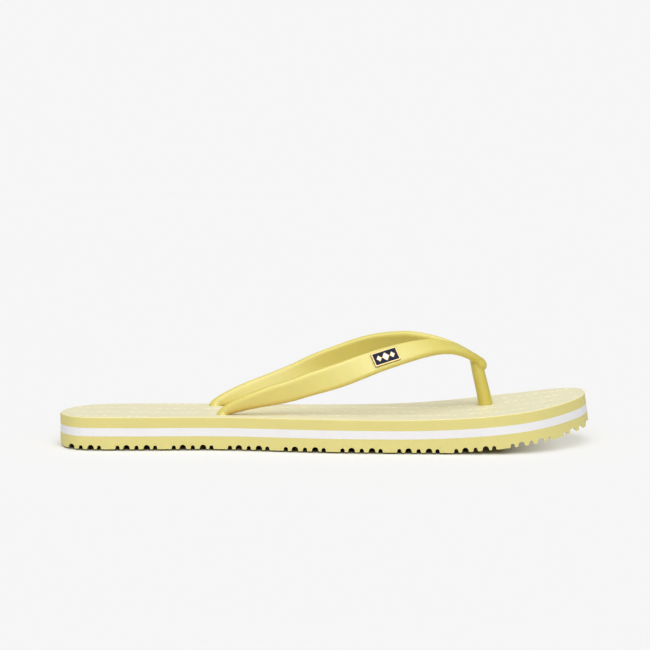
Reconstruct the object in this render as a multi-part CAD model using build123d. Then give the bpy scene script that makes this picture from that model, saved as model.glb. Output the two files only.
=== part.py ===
from build123d import *
import math
import os

# A right-foot flip flop. Millimetres, +X towards the toe, +Y towards the inner side of the foot, +Z up.
# The origin is the middle of the bounding box, on the ground.

# ---------------------------------------------------------------- driving dimensions

LENGTH = 253.6              # heel to toe, over the whole sole

OUTSOLE_T = 6.85            # bottom sheet, its tread included
MIDSOLE_T = 3.85            # middle sheet
FOOTBED_T = 5.1             # top sheet
RIM_ROUND = 0.6             # rounding of the footbed's upper edge
SOLE_T = OUTSOLE_T + MIDSOLE_T + FOOTBED_T

SPRING_START = 30.0         # the sole lies flat behind this x and curls up in front of it
SPRING_R = 576.0            # radius of the sheets' curl, measured at the tread's level
TREAD_SPRING_R = 508.0      # the tread itself curls a little more, so the outsole thins to the toe
WALL_LEAN = 0.8             # part of the curl's slope that the side wall follows
HEEL_X = -130.0             # back end of the side views, behind the heel
HEEL_BEVEL_X = -121.5       # the tread slopes up behind this x
HEEL_BEVEL_SLOPE = 0.5
TOE_X = 140.0               # front end of the side views, in front of the toe
HALF_SPAN = 60.0            # half width of a side view drawn out, wider than the sole
BODY_LOW = -2.0             # the sole's outer shape is cut from a wall between these levels
BODY_HIGH = 34.0

UNDERCUT_RISE = 0.8         # the tread's edge stands this far off the ground
UNDERCUT_WIDTH = 7.0        # and slopes down to it over this width
UNDERCUT_LOW = -0.4         # the slope is drawn down to this level
TOOTH_RISE = 0.74           # the rounded tips between grooves start this high where the sole lies flat

TREAD_PERIOD = 26.15        # one group of grooves and one land
NARROW_GROOVE = (1.9, 1.8)  # width, depth
WIDE_GROOVE = (3.0, 2.1)
GROOVE_GROUP = (            # place in the period, and the groove there
    (0.0, NARROW_GROOVE),
    (4.2, WIDE_GROOVE),
    (8.85, NARROW_GROOVE),
    (13.6, WIDE_GROOVE),
    (17.5, NARROW_GROOVE),
)
FIRST_GROUP = -122.7        # x of the first group's first groove
FIRST_GROOVE = -121.0       # no groove behind this x, at the heel's end
MOUTH_ROUND = 0.65          # rounding of a tooth's tip

STEM_R = 2.9                # strap stem, inside the sole
STEM_RISE = 0.4             # the stem ends this far over the footbed, inside the arm
STEM_GAP = 0.05             # between the stem and its hole
POST_BASE_R = 3.4           # the toe post where it meets the footbed
PLUG_R = 5.5                # plug head under the sole
PLUG_T = 2.4
PLUG_ROUND = 0.7            # on the head's edges
WASHER_R = 5.2
WASHER_T = 1.0
RECESS_R = 6.2              # recess around a plug head
RECESS_DEPTH = 4.4          # from the tread's lowest face up to the recess roof

TOE_ANCHOR = (77.3, 5.0)    # x, y of the three holes, at the footbed's top
LATERAL_ANCHOR = (-48.2, -19.8)
MEDIAL_ANCHOR = (-53.4, 18.7)

BADGE_L = 12.8
BADGE_H = 7.2
BADGE_T = 1.3
BADGE_PROUD = 0.8           # how far the badge stands out of the strap
BADGE_FRAME = 0.6           # width of the raised frame
BADGE_BEVEL = 0.18          # on the frame's outer edge
BADGE_CORNER = 0.6
FIELD_CORNER = 0.3          # corner of the enamel field inside the frame
ENAMEL_T = 0.4
ENAMEL_BELOW = 0.08         # enamel lies this far under the frame's top
CLOISON = 0.22              # thin metal wall between two enamels
TIP_GROWTH = 1.5            # a lozenge's tips move this many times as far as its sides
LOZENGES = (                # place along the badge, half length and half height of the inlays
    (-3.3, 1.0, 1.25),
    (0.0, 1.5, 1.9),
    (3.3, 1.0, 1.25),
)
PIN_R = 0.6
PIN_OFFSET = 4.2            # each side of the badge's middle
RETAINER_R = 1.9
RETAINER_T = 0.5
RETAINER_LEVEL = -0.6       # where the retainers' outer side lies, from the strap's middle
RETAINER_GAP = 0.1          # round a retainer in its well
PIN_OVER = 0.2              # a pin's length past its retainer, and inside the tray

EPS = 0.02                  # keeps the strap off the footbed
CUT_OVER = 2.0              # how far a cut runs past the face that it opens

# Edge of the footbed seen from above, from the heel's end round the outer side to the toe and back.
OUTLINE = (
    (-125.9, -4.5), (-122.6, -19.3), (-115.0, -28.4), (-102.0, -30.6), (-84.0, -30.7), (-66.0, -29.8),
    (-48.0, -30.0), (-28.0, -33.4), (-6.0, -38.2), (16.0, -41.2), (38.0, -42.6), (60.0, -43.6),
    (80.0, -43.2), (95.0, -39.0), (107.0, -30.0), (115.4, -20.0), (121.4, -9.5), (124.7, 3.0),
    (125.6, 16.0), (123.0, 29.0), (114.5, 38.4), (100.0, 42.0), (82.0, 41.6), (62.0, 36.6),
    (42.0, 30.0), (20.0, 25.2), (-4.0, 23.4), (-28.0, 24.8), (-54.0, 27.4), (-80.0, 28.6),
    (-100.0, 27.4), (-114.5, 22.6), (-122.3, 11.8),
)

# Strap arms, anchor to nose: centre x, y, height over the footbed's flat part, width, thickness, and roll
# in degrees. At roll 0 the face points sideways; with more roll the upper edge leans over the foot and the
# face looks up. Each arm starts inside its hole.
BADGE_STATION = 11
LATERAL_ARM = (
    (-49.6, -19.8, -2.8, 4.6, 4.6, 0),
    (-46.2, -19.9, 1.9, 4.8, 4.6, 0),
    (-41.2, -20.5, 4.25, 6.1, 4.5, 0),
    (-35.9, -21.3, 6.1, 7.1, 4.2, 0),
    (-26.6, -22.0, 8.85, 9.0, 3.8, 0),
    (-17.0, -22.5, 11.3, 10.0, 3.5, 2),
    (-7.5, -22.6, 14.4, 10.6, 3.3, 5),
    (2.1, -22.4, 17.3, 11.1, 3.2, 9),
    (9.9, -21.9, 19.9, 11.2, 3.2, 14),
    (17.2, -21.2, 22.6, 11.0, 3.2, 20),
    (22.6, -20.3, 24.5, 10.8, 3.2, 27),
    (28.3, -19.1, 26.3, 10.6, 3.2, 33),
    (34.5, -17.3, 28.0, 10.4, 3.2, 38),
    (44.9, -12.9, 30.3, 9.7, 3.2, 45),
    (52.7, -8.5, 31.0, 8.9, 3.2, 51),
    (59.3, -4.1, 30.3, 8.1, 3.3, 58),
    (65.4, 0.0, 28.2, 7.4, 3.4, 66),
    (71.0, 3.4, 25.0, 6.8, 3.6, 78),
    (74.9, 5.0, 21.9, 5.4, 3.6, 90),
)
MEDIAL_ARM = (
    (-55.6, 18.6, -2.8, 4.8, 4.6, 0),
    (-51.6, 18.8, 1.4, 5.8, 4.6, -4),
    (-46.3, 19.3, 3.5, 7.5, 4.4, -8),
    (-38.5, 20.2, 6.5, 8.7, 4.1, -12),
    (-29.0, 21.6, 9.7, 9.6, 3.8, -14),
    (-19.3, 22.9, 13.1, 10.2, 3.5, -12),
    (-9.0, 24.0, 17.4, 10.7, 3.3, -6),
    (1.0, 24.6, 21.5, 11.0, 3.2, 4),
    (10.6, 24.7, 25.0, 11.1, 3.2, 13),
    (18.8, 24.3, 28.0, 10.9, 3.2, 20),
    (28.0, 23.2, 30.4, 10.6, 3.2, 28),
    (37.3, 21.2, 31.8, 10.3, 3.2, 37),
    (46.4, 18.2, 32.0, 9.8, 3.2, 46),
    (52.6, 15.6, 31.4, 9.3, 3.2, 53),
    (59.0, 12.4, 30.2, 8.5, 3.3, 60),
    (65.2, 9.6, 28.1, 7.6, 3.4, 67),
    (71.0, 6.6, 25.1, 6.8, 3.6, 78),
    (74.9, 5.0, 21.9, 5.4, 3.6, 90),
)
ARM_CORNER = 0.42           # corner radius of an arm's section, as a part of its thickness

# Toe post: centre x, height over the footbed's flat part, and radius, from above its base into the nose.
POST = ((74.75, 13.8, 3.0), (73.15, 20.6, 2.85), (72.5, 24.1, 2.75))
NOSE = (74.3, 22.1)         # centre x and height over the footbed of the nose's rounded end
NOSE_RADII = (4.0, 3.6, 2.7)
NOSE_PITCH = 42.0           # degrees, how steeply the nose points down


# ---------------------------------------------------------------- the sole's frame

def curl_angle(x, height):
    """Angle of the sole's curl, in radians, where the sheet at that height passes x."""
    return math.asin(max(0.0, x - SPRING_START) / (SPRING_R - height))


def sole_plane(x, y, height):
    """A plane on the sole at a height over the tread, with its z axis square to the sole."""
    angle = curl_angle(x, height)
    reach = SPRING_R - height
    start = min(x, SPRING_START)
    origin = (start + reach * math.sin(angle), y, SPRING_R - reach * math.cos(angle))
    along = (math.cos(angle), 0, math.sin(angle))
    outward = (-math.sin(angle), 0, math.cos(angle))
    return Plane(origin, x_dir=along, z_dir=outward)


def rim_at(z, inset=0.0):
    """The sole's outline on a level plane; at the toe the wall leans back with the curl."""
    points = []
    for index, (x, y) in enumerate(OUTLINE):
        after = Vector(*OUTLINE[(index + 1) % len(OUTLINE)])
        along = (after - Vector(*OUTLINE[index - 1])).normalized()
        angle = curl_angle(x, SOLE_T)
        rim_z = SPRING_R - (SPRING_R - SOLE_T) * math.cos(angle)
        lean = WALL_LEAN * math.tan(angle) * (rim_z - z)
        points.append((x + lean - inset * along.Y, y + inset * along.X, z))
    return Wire([Spline(*points, periodic=True)])


def sole_body():
    """The sole's side wall as a solid, taller than the sole."""
    return Solid.make_loft([rim_at(BODY_LOW), rim_at(BODY_HIGH)], ruled=True)


def undercut_body():
    """The same, with the lower edge cut back so that the tread's rim stands off the ground."""
    inset = UNDERCUT_WIDTH * (UNDERCUT_RISE - UNDERCUT_LOW) / UNDERCUT_RISE
    levels = [rim_at(UNDERCUT_LOW, inset), rim_at(UNDERCUT_RISE), rim_at(BODY_HIGH)]
    return Solid.make_loft(levels, ruled=True)


def curled_line(radius, height):
    """The curled part of a line at a height, as x and z of a side view."""
    turn = math.degrees(math.asin((TOE_X - SPRING_START) / (radius - height)))
    return CenterArc((SPRING_START, radius), radius - height, -90, turn)


def side_face(bottom, top, heel):
    """The side view between two curled lines, closed along the flat part and round the heel's points."""
    front = Line(bottom @ 1, top @ 1)
    back = Polyline(top @ 0, (HEEL_X, (top @ 0).Y), *heel, bottom @ 0)
    return make_face(Curve(children=[bottom, front, top, back]))


def across(section):
    """A side view drawn out to both sides, wider than the sole."""
    return extrude(Plane.XZ * section, amount=HALF_SPAN, both=True)


def sheet(body, low, high):
    """A plain sheet of the sole between two heights over the tread."""
    section = side_face(curled_line(SPRING_R, low), curled_line(SPRING_R, high), [(HEEL_X, low)])
    return body & across(section)


def anchors():
    """The three anchor axes, as planes on the footbed's top."""
    return [sole_plane(x, y, SOLE_T) for x, y in (TOE_ANCHOR, LATERAL_ANCHOR, MEDIAL_ANCHOR)]


def column(plane, radius, low, high):
    """A cylinder on an anchor's axis between two heights over the tread."""
    upward = (Align.CENTER, Align.CENTER, Align.MIN)
    return plane * Pos(0, 0, low - SOLE_T) * Cylinder(radius, high - low, align=upward)


# ---------------------------------------------------------------- sole sheets

def groove(width, depth):
    """Side view of one tread groove: a round roof, straight walls and a flared mouth."""
    half = width / 2
    mouth = half + MOUTH_ROUND
    slot = Pos(0, (depth - half - CUT_OVER) / 2) * Rectangle(width, depth - half + CUT_OVER)
    slot = slot + Pos(0, depth - half) * Circle(half)
    flare = Pos(0, (MOUTH_ROUND - CUT_OVER) / 2) * Rectangle(2 * mouth, MOUTH_ROUND + CUT_OVER)
    teeth = [Pos(side * mouth, MOUTH_ROUND) * Circle(MOUTH_ROUND) for side in (-1, 1)]
    return slot + (flare - teeth)


def tread_place(travel):
    """The place of a groove in the side view, a distance along the tread from x = 0."""
    angle = max(0.0, travel - SPRING_START) / TREAD_SPRING_R
    x = min(travel, SPRING_START) + TREAD_SPRING_R * math.sin(angle)
    z = TREAD_SPRING_R * (1 - math.cos(angle))
    rise = max(0.0, TOOTH_RISE - z)
    return Pos(x, z + rise) * Rot(0, 0, math.degrees(angle))


def tread_grooves():
    """Side view of all grooves from heel to toe, each square to the tread."""
    grooves = []
    group = FIRST_GROUP
    while group < LENGTH / 2:
        for offset, size in GROOVE_GROUP:
            if group + offset > FIRST_GROOVE:
                grooves.append(tread_place(group + offset) * groove(*size))
        group += TREAD_PERIOD
    return grooves


def make_outsole():
    heel_rise = HEEL_BEVEL_SLOPE * (HEEL_BEVEL_X - HEEL_X)
    heel = [(HEEL_X, heel_rise), (HEEL_BEVEL_X, 0)]
    section = side_face(curled_line(TREAD_SPRING_R, 0), curled_line(SPRING_R, OUTSOLE_T), heel)
    outsole = undercut_body() & across(section - tread_grooves())
    for plane in anchors():
        outsole = outsole - column(plane, RECESS_R, BODY_LOW, RECESS_DEPTH)
        outsole = outsole - column(plane, STEM_R + STEM_GAP, 0, SOLE_T)
    return outsole


def make_plain_sheet(body, low, high):
    part = sheet(body, low, high)
    for plane in anchors():
        part = part - column(plane, STEM_R + STEM_GAP, low - CUT_OVER, high + CUT_OVER)
    return part


def make_footbed(body):
    footbed = make_plain_sheet(body, OUTSOLE_T + MIDSOLE_T, SOLE_T)
    top_face = footbed.faces().sort_by(Axis.Z)[-1]
    rim = top_face.outer_wire().edges()
    return fillet(rim, RIM_ROUND)


# ---------------------------------------------------------------- strap

def arm_plane(stations, index, side):
    """Section plane of an arm: x along its width, y through its thickness, z along the arm."""
    here, before, after = (
        Vector(*stations[near][:3]) + Vector(0, 0, SOLE_T)
        for near in (index, max(index - 1, 0), min(index + 1, len(stations) - 1)))
    along = (after - before).normalized()
    up = (Vector(0, 0, 1) - along * along.Z).normalized()
    outward = along.cross(up) * side
    roll = math.radians(stations[index][5])
    width_dir = up * math.cos(roll) - outward * math.sin(roll)
    return Plane(here, x_dir=width_dir, z_dir=along)


def make_arm(stations, side):
    """One arm of the strap; side is 1 for the outer arm and -1 for the inner one."""
    sections = []
    for index, station in enumerate(stations):
        width, thick = station[3:5]
        outline = RectangleRounded(width, thick, ARM_CORNER * thick)
        sections.append(arm_plane(stations, index, side) * outline)
    return loft(sections)


def make_post():
    """The toe post from the footbed up into the nose."""
    y = TOE_ANCHOR[1]
    base = sole_plane(*TOE_ANCHOR, SOLE_T + EPS)
    sections = [base * Circle(POST_BASE_R)]
    below = base.origin
    for x, height, radius in POST:
        centre = Vector(x, y, SOLE_T + height)
        sections.append(Plane(centre, x_dir=base.x_dir, z_dir=centre - below) * Circle(radius))
        below = centre
    return loft(sections)


def make_nose():
    x, height = NOSE
    ball = scale(Sphere(1), by=NOSE_RADII)
    return Pos(x, TOE_ANCHOR[1], SOLE_T + height) * Rot(0, NOSE_PITCH, 0) * ball


def make_plug(plane):
    """Stem through the sole and the round head in its recess."""
    head_low = RECESS_DEPTH - WASHER_T - PLUG_T
    head = column(plane, PLUG_R, head_low, head_low + PLUG_T)
    head = fillet(head.edges().filter_by(GeomType.CIRCLE), PLUG_ROUND)
    return head + column(plane, STEM_R, head_low + PLUG_T / 2, SOLE_T + STEM_RISE)


def make_strap(seat, pin_holes):
    """The moulding: arms cut off at the footbed, post, nose and plugs, less the badge's seat and holes."""
    arms = make_arm(LATERAL_ARM, 1) + make_arm(MEDIAL_ARM, -1)
    downward = (Align.CENTER, Align.CENTER, Align.MAX)
    below_footbed = Pos(0, 0, SOLE_T + EPS) * Box(LENGTH, LENGTH, SOLE_T, align=downward)
    arms = arms - below_footbed
    strap = arms + make_post() + make_nose()
    for plane in anchors():
        strap = strap + make_plug(plane)
    return strap - seat - pin_holes


def make_washer(plane):
    low = RECESS_DEPTH - WASHER_T
    return column(plane, WASHER_R, low, RECESS_DEPTH) - column(plane, STEM_R + STEM_GAP, low, RECESS_DEPTH)


# ---------------------------------------------------------------- badge

def badge_frame():
    """Badge plane: origin in the strap's middle, x along the arm, y up its width, z out of its face."""
    section = arm_plane(LATERAL_ARM, BADGE_STATION, 1)
    along = section.z_dir
    outward = along.cross(section.x_dir)
    return Plane(section.origin, x_dir=along, z_dir=outward)


def lozenges(grow):
    """Three lozenges in a row, the middle one larger, each grown by a margin."""
    shapes = []
    for x, half_length, half_height in LOZENGES:
        a = half_length + grow * TIP_GROWTH
        b = half_height + grow * TIP_GROWTH
        shapes.append(Pos(x, 0) * Polygon((a, 0), (0, b), (-a, 0), (0, -b), align=None))
    return Sketch() + shapes


def discs_at_pins(radius):
    """Two discs, one round each pin."""
    return Sketch() + [Pos(x, 0) * Circle(radius) for x in (-PIN_OFFSET, PIN_OFFSET)]


def between(sketch, low, high):
    """A sketch drawn out between two levels of the badge plane."""
    return Pos(0, 0, low) * extrude(sketch, amount=high - low)


def make_badge():
    """The badge's pieces in place, then the seat and the pin holes that the strap gives them."""
    frame = badge_frame()
    top = LATERAL_ARM[BADGE_STATION][4] / 2 + BADGE_PROUD
    back = top - BADGE_T
    field = top - ENAMEL_BELOW - ENAMEL_T
    outline = RectangleRounded(BADGE_L, BADGE_H, BADGE_CORNER)
    opening = RectangleRounded(BADGE_L - 2 * BADGE_FRAME, BADGE_H - 2 * BADGE_FRAME, FIELD_CORNER)
    retainer_back = RETAINER_LEVEL - RETAINER_T

    tray = between(outline, back, top)
    tray = chamfer(tray.edges().group_by(Axis.Z)[-1], BADGE_BEVEL)
    tray = tray - between(opening, field, top + CUT_OVER)
    tray = tray + between(lozenges(CLOISON) - lozenges(0), field, top)
    tray = tray + between(discs_at_pins(PIN_R), retainer_back - PIN_OVER, back + PIN_OVER)

    enamel = between(opening - lozenges(CLOISON), field, field + ENAMEL_T)
    inlays = between(lozenges(0), field, field + ENAMEL_T)
    rings = discs_at_pins(RETAINER_R) - discs_at_pins(PIN_R)
    retainers = between(rings, retainer_back, RETAINER_LEVEL)

    seat = between(outline, back, top + CUT_OVER)
    bores = between(discs_at_pins(PIN_R + STEM_GAP), -CUT_OVER, back + CUT_OVER)
    wells = between(discs_at_pins(RETAINER_R + RETAINER_GAP), RETAINER_LEVEL - CUT_OVER, RETAINER_LEVEL)

    pieces = {
        "badge_plate": frame * tray,
        "badge_enamel": frame * enamel,
        "badge_inlays": frame * inlays,
        "badge_retainers": frame * retainers,
    }
    return pieces, frame * seat, frame * (bores + wells)


# ---------------------------------------------------------------- the whole flip flop

def make_parts():
    body = sole_body()
    parts, seat, bores = make_badge()
    parts["outsole"] = make_outsole()
    parts["midsole"] = make_plain_sheet(body, OUTSOLE_T, OUTSOLE_T + MIDSOLE_T)
    parts["footbed"] = make_footbed(body)
    parts["strap"] = make_strap(seat, bores)
    for name, plane in zip(("toe_washer", "lateral_washer", "medial_washer"), anchors()):
        parts[name] = make_washer(plane)
    return parts


def write_parts(parts):
    """Centre the model over the origin and write one STEP for each node."""
    boxes = [parts[name].bounding_box() for name in ("outsole", "midsole", "footbed")]
    middle_x = (min(box.min.X for box in boxes) + max(box.max.X for box in boxes)) / 2
    middle_y = (min(box.min.Y for box in boxes) + max(box.max.Y for box in boxes)) / 2
    ground = min(box.min.Z for box in boxes)
    shift = Pos(-middle_x, -middle_y, -ground)
    os.makedirs("parts", exist_ok=True)
    for name, shape in parts.items():
        export_step(shift * shape, f"parts/{name}.step")


write_parts(make_parts())
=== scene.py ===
"""A right-foot flip flop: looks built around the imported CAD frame. Metres, +X to the toe, +Z up."""

import math
import random

import bmesh
import bpy
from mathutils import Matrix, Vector
from mathutils.bvhtree import BVHTree


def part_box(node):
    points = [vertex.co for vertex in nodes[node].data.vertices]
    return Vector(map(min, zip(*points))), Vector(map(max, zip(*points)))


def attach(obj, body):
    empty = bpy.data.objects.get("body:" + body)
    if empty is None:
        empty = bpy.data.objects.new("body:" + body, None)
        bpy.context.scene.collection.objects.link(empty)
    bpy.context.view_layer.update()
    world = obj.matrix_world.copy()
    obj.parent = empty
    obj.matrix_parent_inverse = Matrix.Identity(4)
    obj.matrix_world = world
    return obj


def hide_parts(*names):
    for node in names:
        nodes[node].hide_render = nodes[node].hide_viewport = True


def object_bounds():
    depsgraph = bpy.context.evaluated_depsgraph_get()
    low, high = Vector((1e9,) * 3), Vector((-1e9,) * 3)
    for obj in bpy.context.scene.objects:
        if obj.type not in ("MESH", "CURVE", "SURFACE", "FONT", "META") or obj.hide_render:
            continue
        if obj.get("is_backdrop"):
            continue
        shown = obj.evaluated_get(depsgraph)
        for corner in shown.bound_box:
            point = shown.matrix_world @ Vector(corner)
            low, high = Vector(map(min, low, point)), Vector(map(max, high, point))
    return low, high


MM = 0.001                  # one millimetre, in metres

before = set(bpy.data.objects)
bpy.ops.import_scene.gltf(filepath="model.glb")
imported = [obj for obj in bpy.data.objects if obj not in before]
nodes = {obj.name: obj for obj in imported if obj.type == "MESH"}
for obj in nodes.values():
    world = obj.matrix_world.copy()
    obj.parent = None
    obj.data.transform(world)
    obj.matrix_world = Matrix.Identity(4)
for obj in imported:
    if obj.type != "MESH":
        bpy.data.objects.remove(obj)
cad_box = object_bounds()


# ------------------------------------------------------------------ material tools

MIX_SHARE, MIX_FIRST, MIX_SECOND = 0, 6, 7   # the Mix node's inputs that hold when it mixes colours
MIX_COLOUR = 2                               # and its colour output


class Shader:
    """A material under construction, with short calls for the nodes it needs."""

    def __init__(self, name):
        self.material = bpy.data.materials.new(name)
        self.material.use_nodes = True
        self.tree = self.material.node_tree
        self.surface = self.tree.nodes["Principled BSDF"]
        self.place = self.tree.nodes.new("ShaderNodeTexCoord").outputs["Object"]

    def link(self, source, socket):
        """Joins an output to a socket."""
        self.tree.links.new(source, socket)

    def fill(self, socket, value):
        """Puts a number or colour on a socket, or joins an output to it."""
        if isinstance(value, bpy.types.NodeSocket):
            self.link(value, socket)
        elif isinstance(value, tuple) and len(value) == 3 and socket.type == "RGBA":
            socket.default_value = (*value, 1.0)
        else:
            socket.default_value = value

    def stretched(self, scale):
        """Object coordinates stretched along the axes."""
        node = self.tree.nodes.new("ShaderNodeMapping")
        self.link(self.place, node.inputs["Vector"])
        node.inputs["Scale"].default_value = scale
        return node.outputs["Vector"]

    def noise(self, size, detail=2.0, rough=0.5, place=None):
        """Noise whose features are about that size, in metres."""
        node = self.tree.nodes.new("ShaderNodeTexNoise")
        self.link(place or self.place, node.inputs["Vector"])
        node.inputs["Scale"].default_value = 1.0 / size
        node.inputs["Detail"].default_value = detail
        node.inputs["Roughness"].default_value = rough
        return node.outputs["Fac"]

    def cells(self, size):
        """Distance to the nearest of random points about that far apart."""
        node = self.tree.nodes.new("ShaderNodeTexVoronoi")
        self.link(self.place, node.inputs["Vector"])
        node.inputs["Scale"].default_value = 1.0 / size
        return node.outputs["Distance"]

    def ramp(self, value, low, high, out_low=0.0, out_high=1.0):
        """A value mapped from one range to another, clamped."""
        node = self.tree.nodes.new("ShaderNodeMapRange")
        self.link(value, node.inputs["Value"])
        node.inputs["From Min"].default_value = low
        node.inputs["From Max"].default_value = high
        node.inputs["To Min"].default_value = out_low
        node.inputs["To Max"].default_value = out_high
        return node.outputs["Result"]

    def math(self, operation, first, second):
        """Two values put together, such as ADD or MULTIPLY."""
        node = self.tree.nodes.new("ShaderNodeMath")
        node.operation = operation
        self.fill(node.inputs[0], first)
        self.fill(node.inputs[1], second)
        return node.outputs[0]

    def mix(self, factor, first, second):
        """One colour turning into another."""
        node = self.tree.nodes.new("ShaderNodeMix")
        node.data_type = "RGBA"
        self.fill(node.inputs[MIX_SHARE], factor)
        self.fill(node.inputs[MIX_FIRST], first)
        self.fill(node.inputs[MIX_SECOND], second)
        return node.outputs[MIX_COLOUR]

    def facing(self, axis):
        """How far the surface faces along X, Y or Z, from -1 to 1."""
        node = self.tree.nodes.new("ShaderNodeNewGeometry")
        split = self.tree.nodes.new("ShaderNodeSeparateXYZ")
        self.link(node.outputs["Normal"], split.inputs[0])
        return split.outputs[axis]

    def along(self, axis):
        """Where the surface lies along one of the object's axes, in metres from its origin."""
        split = self.tree.nodes.new("ShaderNodeSeparateXYZ")
        self.link(self.place, split.inputs[0])
        return split.outputs[axis]

    def bump(self, *layers):
        """Stacks bump layers, each a height from 0 to 1 and its real depth in metres."""
        below = None
        for value, depth in layers:
            node = self.tree.nodes.new("ShaderNodeBump")
            node.inputs["Distance"].default_value = depth
            self.link(value, node.inputs["Height"])
            if below:
                self.link(below, node.inputs["Normal"])
            below = node.outputs["Normal"]
        self.link(below, self.surface.inputs["Normal"])

    def set(self, **values):
        """Sets the surface's own sockets: base_color=..., roughness=..., and so on."""
        for name, value in values.items():
            self.fill(self.surface.inputs[name.replace("_", " ").title().replace("Ior", "IOR")], value)
        return self.material


def coat(piece, material):
    """Gives every face of a piece one material."""
    piece.data.materials.clear()
    piece.data.materials.append(material)


# ------------------------------------------------------------------ materials

# Colours are linear RGB.
FOAM_YELLOW = (0.665, 0.585, 0.21)   # the footbed's cut wall
TOP_SHEEN_YELLOW = (0.79, 0.74, 0.49)      # and its printed top, whose paler yellow is painted sheen
OUTSOLE_YELLOW = (0.665, 0.59, 0.215)
FOAM_WHITE = (0.76, 0.75, 0.76)
STRAP_YELLOW = (0.62, 0.53, 0.05)
STRAP_UNDER_SHADE = (0.52, 0.30, 0.001)     # painted shade on faces turned down, for light that has come through the rubber
STRAP_POST_SHADE = (0.545, 0.45, 0.001)   # painted shade on the nose and post, a thick piece of it
NAVY = (0.012, 0.018, 0.045)
DEEP_NAVY = (0.008, 0.012, 0.032)
CREAM = (0.88, 0.86, 0.78)
DEEP_CREAM = (0.82, 0.79, 0.69)

NOISE_SPAN = (0.3, 0.7)     # nearly all values of a detailed noise lie between these
SOFT_SPAN = (0.35, 0.65)    # and of a soft one
TOP_FACING = (0.55, 0.85)   # how far up a face looks where the cut wall turns into the moulded top
TOP_SMOOTHER = 0.22         # the top's roughness is lower by this
PORE_RADIUS = 0.35          # a pore fades out this far from its middle, in cell sizes
PORE_SHADE = 0.16           # its middle has this share of the darker shade
UNDER_FACING = (0.2, -0.6)  # how far up a face looks where the strap's side turns into its underside
UNDER_SHADE_SHARE = (0.2, 0.9)     # share of the painted shade's deeper yellow there, ahead of the anchors and at them

POST_FROM = 66 * MM         # x from which the strap thickens into the nose and post, and their painted shade comes in
POST_TO = 71 * MM           # and where it is thick and the painted shade full
ANCHOR_FROM = 14 * MM       # x from which the arms grow round in section towards their anchors
ANCHOR_TO = -38 * MM        # and where they are round


def darker(colour, factor):
    """The same hue with less light."""
    return tuple(channel * factor for channel in colour)


def foam(name, colour, top_sheen_colour=None):
    """Closed-cell EVA foam: fine cells, sanding marks along the cut wall, soft mottling; a given top
    colour goes on faces that look up, as painted sheen.
    """
    s = Shader(name)
    mottle = s.ramp(s.noise(7 * MM, 3), *SOFT_SPAN)
    grain = s.ramp(s.noise(0.9 * MM, 3, 0.6), *NOISE_SPAN)
    cells = s.cells(0.42 * MM)
    sanding = s.noise(0.5 * MM, 2, 0.5, s.stretched((0.12, 0.12, 1.0)))
    tint = s.mix(mottle, darker(colour, 0.975), colour)
    tint = s.mix(s.ramp(grain, 0, 1, 0, 0.5), tint, darker(colour, 0.95))
    rough = s.ramp(grain, 0, 1, 0.62, 0.74)
    if top_sheen_colour:
        # painted sheen: faces that look up turn to the paler top yellow
        upward = s.ramp(s.facing("Z"), *TOP_FACING)
        top = s.mix(grain, darker(top_sheen_colour, 0.985), top_sheen_colour)
        tint = s.mix(upward, tint, top)
        rough = s.math("SUBTRACT", rough, s.math("MULTIPLY", upward, TOP_SMOOTHER))
    pore = s.ramp(cells, 0, PORE_RADIUS, PORE_SHADE, 0)
    tint = s.mix(pore, tint, darker(colour, 0.8))
    s.bump((sanding, 0.03 * MM), (grain, 0.03 * MM), (cells, 0.04 * MM))
    return s.set(
        base_color=tint,
        roughness=rough,
        subsurface_weight=0.1,
        subsurface_radius=(1.0, 0.8, 0.3),
        subsurface_scale=0.8 * MM,
        specular_ior_level=0.45,
    )


def strap_rubber():
    """Satin translucent rubber. Painted shade: faces turned down get a deeper yellow, for light that
    soaks in from above, and the nose and post a darker one.
    """
    s = Shader("strap_rubber")
    flow = s.ramp(s.noise(16 * MM, 2), *SOFT_SPAN)
    satin = s.noise(0.35 * MM, 3, 0.6)
    ripple = s.noise(5 * MM, 1)
    tint = s.mix(flow, darker(STRAP_YELLOW, 0.97), STRAP_YELLOW)
    # painted shade: the nose and post turn to a darker yellow
    tint = s.mix(s.ramp(s.along("X"), POST_FROM, POST_TO), tint, STRAP_POST_SHADE)
    # painted shade: faces turned down, more so towards the anchors, turn to a deeper, redder yellow
    shade_under = s.ramp(s.facing("Z"), *UNDER_FACING)
    towards_anchor = s.ramp(s.along("X"), ANCHOR_FROM, ANCHOR_TO, *UNDER_SHADE_SHARE)
    tint = s.mix(s.math("MULTIPLY", shade_under, towards_anchor), tint, STRAP_UNDER_SHADE)
    s.bump((ripple, 0.03 * MM), (satin, 0.012 * MM))
    return s.set(
        base_color=tint,
        roughness=s.ramp(satin, *NOISE_SPAN, 0.46, 0.54),
        subsurface_weight=0.5,
        subsurface_radius=(1.0, 0.7, 0.1),
        subsurface_scale=2.5 * MM,
        specular_ior_level=1.0,
        ior=1.6,
        coat_weight=1.0,
        coat_roughness=0.55,
        coat_ior=1.6,
    )


def print_ink():
    """Pale screen-printed ink, slightly worn in specks."""
    s = Shader("print_ink")
    wear = s.ramp(s.noise(0.6 * MM, 3, 0.7), *NOISE_SPAN)
    s.bump((wear, 0.01 * MM))
    return s.set(
        base_color=s.mix(wear, (0.86, 0.82, 0.62), (0.92, 0.90, 0.78)),
        roughness=s.ramp(wear, 0, 1, 0.6, 0.45),
        specular_ior_level=0.4,
    )


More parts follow.
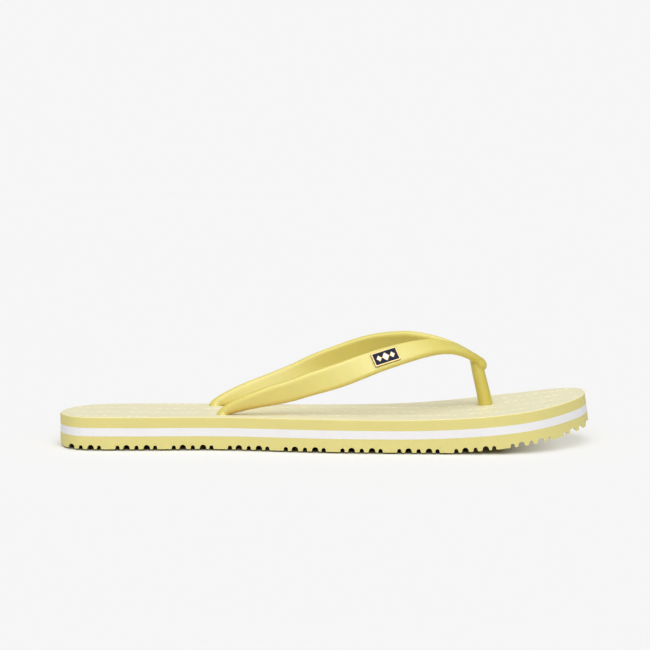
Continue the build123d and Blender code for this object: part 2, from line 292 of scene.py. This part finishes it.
def gold():
    """Satin gold-coloured plating with fine scratches."""
    s = Shader("badge_gold")
    scratch = s.noise(0.12 * MM, 3, 0.6, s.stretched((0.1, 0.4, 1.0)))
    cloud = s.noise(1.6 * MM, 2)
    s.bump((scratch, 0.004 * MM))
    return s.set(
        base_color=s.mix(cloud, (0.50, 0.37, 0.17), (0.58, 0.45, 0.23)),
        metallic=1.0,
        roughness=s.ramp(scratch, *NOISE_SPAN, 0.34, 0.46),
    )


def enamel(name, colour, deep):
    """Hard enamel: honed, with a faint orange peel and a slightly deeper tone in patches."""
    s = Shader(name)
    peel = s.noise(0.7 * MM, 2)
    s.bump((peel, 0.012 * MM))
    return s.set(
        base_color=s.mix(s.ramp(peel, *SOFT_SPAN), deep, colour),
        roughness=s.ramp(peel, 0, 1, 0.44, 0.54),
        specular_ior_level=0.1,
    )


def retainer_steel():
    """Plain steel, brushed one way."""
    s = Shader("retainer_steel")
    brushed = s.noise(0.15 * MM, 3, 0.6, s.stretched((1.0, 0.15, 0.15)))
    s.bump((brushed, 0.006 * MM))
    return s.set(
        base_color=s.mix(brushed, (0.50, 0.50, 0.51), (0.66, 0.66, 0.67)),
        metallic=1.0,
        roughness=s.ramp(brushed, *NOISE_SPAN, 0.28, 0.42),
    )


def washer_plastic():
    """Off-white moulded plastic with a fine grain."""
    s = Shader("washer_plastic")
    grain = s.noise(0.4 * MM, 3)
    s.bump((grain, 0.02 * MM))
    return s.set(
        base_color=s.mix(grain, (0.80, 0.79, 0.74), (0.88, 0.87, 0.83)),
        roughness=s.ramp(grain, *NOISE_SPAN, 0.45, 0.6),
    )


# ------------------------------------------------------------------ the strap

ABOVE = 100 * MM            # higher than anything on the flip flop
LEAST_LEVEL = 0.5           # a surface is the top if its normal points up at least this much

STRAP_VOXEL = 0.35 * MM     # grid of the remeshed strap
SMOOTH_STEP = 0.5           # how far one smoothing pass moves a point towards its neighbours' middle
SOFTENING = 6               # smoothing passes all over
NOSE_SOFTENING = 8          # more of them where the arms run together
NOSE_START = 62 * MM        # x where those begin
NOSE_LOW = 30 * MM          # and the height above which they act
NOSE_FADE = 7 * MM          # both come in over this length
ANCHOR_SOFTENING = 44       # and more again towards the anchors, which rounds the arms
SEAT_SOFTENING = 0.25       # part of the passes all over that the badge's seat gets
SWELL = 0.16 * MM           # gives back what the smoothing takes off


def mesh_copy(node, name):
    """A new object with a copy of a CAD node's mesh."""
    mesh = nodes[node].data.copy()
    piece = bpy.data.objects.new(name, mesh)
    bpy.context.scene.collection.objects.link(piece)
    return piece


def apply_modifiers(piece):
    """Bakes a piece's modifiers into its mesh."""
    graph = bpy.context.evaluated_depsgraph_get()
    mesh = bpy.data.meshes.new_from_object(piece.evaluated_get(graph))
    piece.modifiers.clear()
    piece.data = mesh


def mesh_bvh(piece):
    """A piece's surface, ready for rays and nearest points."""
    corners = [vertex.co for vertex in piece.data.vertices]
    return BVHTree.FromPolygons(corners, [face.vertices for face in piece.data.polygons])


def surface_under(tree, x, y):
    """Height of the top surface at a place, or None off it."""
    place, normal, _, _ = tree.ray_cast(Vector((x, y, ABOVE)), Vector((0, 0, -1)))
    if place is None or normal.z < LEAST_LEVEL:
        return None
    return place.z


def share(value, start, end):
    """How far a value has gone from start to end, from 0 to 1."""
    return min(1.0, max(0.0, (value - start) / (end - start)))


def add_smoothing(piece, name, passes, weight=None):
    """Smooths a piece; weight, if given, says how strongly at each point."""
    smooth = piece.modifiers.new(name, "SMOOTH")
    smooth.factor = SMOOTH_STEP
    smooth.iterations = passes
    if weight:
        group = piece.vertex_groups.new(name=name)
        for vertex in piece.data.vertices:
            amount = weight(vertex.co)
            if amount > 0:
                group.add([vertex.index], amount, "REPLACE")
        smooth.vertex_group = name


def make_strap():
    """The moulded strap: the CAD form, remeshed fine and smoothed, its joints blended."""
    strap = mesh_copy("strap", "strap_moulding")
    remesh = strap.modifiers.new("remesh", "REMESH")
    remesh.mode = "VOXEL"
    remesh.voxel_size = STRAP_VOXEL
    apply_modifiers(strap)

    footbed_top = surface_under(mesh_bvh(nodes["footbed"]), 0, 0)
    seat_low, seat_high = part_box("badge_plate")

    def near_nose(co):
        forward = share(co.x, NOSE_START, NOSE_START + NOSE_FADE)
        return forward * share(co.z, NOSE_LOW, NOSE_LOW + NOSE_FADE)

    def near_anchor(co):
        return share(co.x, ANCHOR_FROM, ANCHOR_TO) if co.z > footbed_top else 0.0

    def off_badge(co):
        inside = all(low < at < high for low, at, high in zip(seat_low, co, seat_high))
        return SEAT_SOFTENING if inside else 1.0

    add_smoothing(strap, "nose", NOSE_SOFTENING, near_nose)
    add_smoothing(strap, "anchor", ANCHOR_SOFTENING, near_anchor)
    add_smoothing(strap, "all", SOFTENING, off_badge)
    swell = strap.modifiers.new("swell", "DISPLACE")
    swell.strength = SWELL
    swell.mid_level = 0
    apply_modifiers(strap)
    strap.data.shade_smooth()
    coat(strap, strap_rubber())
    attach(strap, "root")
    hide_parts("strap")


# ------------------------------------------------------------------ the footbed's print

PRINT_THICK = 0.05 * MM     # how far the ink stands over the footbed
PRINT_SEED = 5
ROWS = range(-3, 4)         # rows across the footbed, 0 near its middle
ROW_PITCH = 17.2 * MM
ROW_MIDDLE = 9.5 * MM       # mean y of row 0
ROW_WAVE = 2.6 * MM         # how far a row waves to each side
ROW_WAVELENGTH = 130 * MM
MARK_KINDS = ("lozenge", "dash", "two dashes")
MARK_PITCH = 3.9 * MM
MARK_RUNS = (9, 6, 11, 7)   # marks in a run, with one left out between the runs
MARK_HALF = (1.25 * MM, 1.6 * MM)   # half the length and half the height of a mark
STROKE = 0.5 * MM           # width of its strokes
EDGE_MARGIN = 3.2 * MM      # a mark's middle keeps this far from the footbed's edge
RING_POINTS = 8             # looked at in this many places round it
STRAP_MARGIN = 5.5 * MM     # and this far from the strap


def stroke(start, end):
    """A straight stroke of the print, as four corners."""
    dx, dy = end[0] - start[0], end[1] - start[1]
    half = STROKE / 2 / math.hypot(dx, dy)
    side_x, side_y = -dy * half, dx * half
    return [
        (start[0] + side_x, start[1] + side_y),
        (start[0] - side_x, start[1] - side_y),
        (end[0] - side_x, end[1] - side_y),
        (end[0] + side_x, end[1] + side_y),
    ]


def mark_strokes(kind):
    """A lozenge, a dash, or two dashes side by side, as strokes round its middle."""
    half_l, half_h = MARK_HALF
    if kind == "lozenge":
        tips = [(half_l, 0), (0, half_h), (-half_l, 0), (0, -half_h)]
        return [stroke(tip, after) for tip, after in zip(tips, tips[1:] + tips[:1])]
    rises = (0,) if kind == "dash" else (-half_h / 2, half_h / 2)
    return [stroke((-half_l, y), (half_l, y)) for y in rises]


def add_stroke(form, tree, x, y, corners):
    """One stroke of a mark at x, y: a thin slab that follows the footbed."""
    heights = [surface_under(tree, x + dx, y + dy) for dx, dy in corners]
    if None in heights:
        return
    tops = [form.verts.new((x + dx, y + dy, z + PRINT_THICK)) for (dx, dy), z in zip(corners, heights)]
    feet = [form.verts.new((x + dx, y + dy, z - PRINT_THICK)) for (dx, dy), z in zip(corners, heights)]
    form.faces.new(tops)
    form.faces.new(feet[::-1])
    for index in range(len(tops)):
        after = (index + 1) % len(tops)
        form.faces.new((feet[index], feet[after], tops[after], tops[index]))


def row_places(row, low_x, high_x):
    """Places of the marks along one gently waving row."""
    x = low_x + EDGE_MARGIN
    run = row
    left_in_run = MARK_RUNS[run % len(MARK_RUNS)]
    while x < high_x:
        yield x, ROW_MIDDLE + row * ROW_PITCH + ROW_WAVE * math.cos(math.tau * x / ROW_WAVELENGTH)
        x += MARK_PITCH
        left_in_run -= 1
        if left_in_run == 0:
            run += 1
            left_in_run = MARK_RUNS[run % len(MARK_RUNS)]
            x += MARK_PITCH


def make_print():
    """Rows of small plain marks printed on the footbed, clear of its edge and of the strap."""
    tree = mesh_bvh(nodes["footbed"])
    strap_tree = mesh_bvh(nodes["strap"])
    low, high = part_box("footbed")
    form = bmesh.new()
    draw = random.Random(PRINT_SEED)

    def fits(x, y):
        ring = [math.tau * step / RING_POINTS for step in range(RING_POINTS)]
        around = [(x + EDGE_MARGIN * math.cos(a), y + EDGE_MARGIN * math.sin(a)) for a in ring]
        if any(surface_under(tree, *place) is None for place in around):
            return False
        return strap_tree.find_nearest(Vector((x, y, surface_under(tree, x, y))))[3] > STRAP_MARGIN

    for row in ROWS:
        for x, y in row_places(row, low.x, high.x):
            strokes = mark_strokes(draw.choice(MARK_KINDS))
            if fits(x, y):
                for corners in strokes:
                    add_stroke(form, tree, x, y, corners)
    bmesh.ops.recalc_face_normals(form, faces=form.faces)
    mesh = bpy.data.meshes.new("footbed_print")
    form.to_mesh(mesh)
    form.free()
    piece = bpy.data.objects.new("footbed_print", mesh)
    bpy.context.scene.collection.objects.link(piece)
    coat(piece, print_ink())
    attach(piece, "root")


# ------------------------------------------------------------------ floor, light and camera

BACKDROP = 0.9216           # pale grey of the lit floor and of what is behind it
FLOOR_ALBEDO = 0.80         # part of the light that the floor sends back
FLOOR_HALF = 12.0           # from the middle of the floor to each side
GLOW = 0.55                 # part of the floor's light that comes from inside it, at the toe
GLOW_FROM = 80 * MM         # x where the glow starts
GLOW_TO = 112 * MM          # and where it is full
TOP_LIGHT = 0.34            # radiance that the overhead light gives a white surface that faces it
TOP_LIGHT_SPREAD = math.radians(46)
TOP_LIGHT_HEIGHT = math.radians(82)
FRONT_LIGHT = 0.56          # the same for the front light
FRONT_LIGHT_SPREAD = math.radians(50)
FRONT_LIGHT_HEIGHT = math.radians(40)
VIEW_DISTANCE = 1.0         # from the camera to the point it looks at
VIEW_DROP = math.radians(4.2)
VIEW_SIDE = -0.85 * MM      # x of that point
VIEW_FORWARD = 0.75 * MM    # its y
VIEW_HEIGHT = 56.55 * MM    # and its height
LENS = 115.9                # focal length and film width, both in millimetres
SENSOR = 36
FAR_CLIP = 50


def grey(level):
    """A colour with the same level in all three channels."""
    return (level, level, level)


def make_floor():
    """A wide plain floor, which glows at the toe's end to keep the shadow there pale."""
    mesh = bpy.data.meshes.new("floor")
    near, far = -FLOOR_HALF, FLOOR_HALF
    corners = [(near, near, 0), (far, near, 0), (far, far, 0), (near, far, 0)]
    mesh.from_pydata(corners, [], [(0, 1, 2, 3)])
    floor = bpy.data.objects.new("floor", mesh)
    bpy.context.scene.collection.objects.link(floor)
    s = Shader("floor")
    glow = s.ramp(s.along("X"), GLOW_FROM, GLOW_TO, 0, GLOW)
    paper = s.set(
        base_color=s.mix(glow, grey(FLOOR_ALBEDO), grey(0)),
        emission_color=grey(BACKDROP),
        emission_strength=glow,
        roughness=1.0,
        specular_ior_level=0.0,
    )
    coat(floor, paper)
    floor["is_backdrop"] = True


def add_sun(name, radiance, spread, height):
    """A broad far light on the camera's side, height radians above the horizon."""
    light = bpy.data.lights.new(name, "SUN")
    light.angle = spread
    light.energy = math.pi * radiance
    lamp = bpy.data.objects.new(name, light)
    lamp.rotation_euler = (math.pi / 2 - height, 0, 0)
    bpy.context.scene.collection.objects.link(lamp)


def make_lights():
    """Even surroundings and two soft lights, set so that the floor comes out at BACKDROP."""
    direct = TOP_LIGHT * math.sin(TOP_LIGHT_HEIGHT) + FRONT_LIGHT * math.sin(FRONT_LIGHT_HEIGHT)
    surroundings = BACKDROP / FLOOR_ALBEDO - direct
    world = bpy.data.worlds.new("studio")
    world.use_nodes = True
    tree = world.node_tree
    fill = tree.nodes["Background"]
    fill.inputs["Color"].default_value = (*grey(surroundings), 1)
    backdrop = tree.nodes.new("ShaderNodeBackground")
    backdrop.inputs["Color"].default_value = (*grey(BACKDROP), 1)
    seen = tree.nodes.new("ShaderNodeLightPath").outputs["Is Camera Ray"]
    either = tree.nodes.new("ShaderNodeMixShader")
    for source, socket in zip((seen, fill.outputs[0], backdrop.outputs[0]), either.inputs):
        tree.links.new(source, socket)
    tree.links.new(either.outputs[0], tree.nodes["World Output"].inputs["Surface"])
    bpy.context.scene.world = world
    add_sun("top_light", TOP_LIGHT, TOP_LIGHT_SPREAD, TOP_LIGHT_HEIGHT)
    add_sun("front_light", FRONT_LIGHT, FRONT_LIGHT_SPREAD, FRONT_LIGHT_HEIGHT)


def make_camera():
    """A long lens that looks at the outer side of the flip flop from a little above."""
    data = bpy.data.cameras.new("camera")
    data.sensor_width = SENSOR
    data.lens = LENS
    data.clip_end = FAR_CLIP
    camera = bpy.data.objects.new("camera", data)
    camera.location = (
        VIEW_SIDE,
        VIEW_FORWARD - VIEW_DISTANCE * math.cos(VIEW_DROP),
        VIEW_HEIGHT + VIEW_DISTANCE * math.sin(VIEW_DROP),
    )
    camera.rotation_euler = (math.pi / 2 - VIEW_DROP, 0, 0)
    bpy.context.scene.collection.objects.link(camera)
    bpy.context.scene.camera = camera


# ------------------------------------------------------------------ the scene

make_strap()
make_print()
coat(nodes["footbed"], foam("footbed_foam", FOAM_YELLOW, TOP_SHEEN_YELLOW))
coat(nodes["midsole"], foam("midsole_foam", FOAM_WHITE))
coat(nodes["outsole"], foam("outsole_foam", OUTSOLE_YELLOW))
coat(nodes["badge_plate"], gold())
coat(nodes["badge_enamel"], enamel("badge_navy", NAVY, DEEP_NAVY))
coat(nodes["badge_inlays"], enamel("badge_cream", CREAM, DEEP_CREAM))
coat(nodes["badge_retainers"], retainer_steel())
for washer in ("toe_washer", "lateral_washer", "medial_washer"):
    coat(nodes[washer], washer_plastic())

make_floor()
make_lights()
make_camera()
bpy.context.scene.view_settings.view_transform = "Standard"

visual_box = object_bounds()
boxes = {"cad": cad_box, "visual": visual_box}
{name: [list(corner) for corner in box] for name, box in boxes.items()}
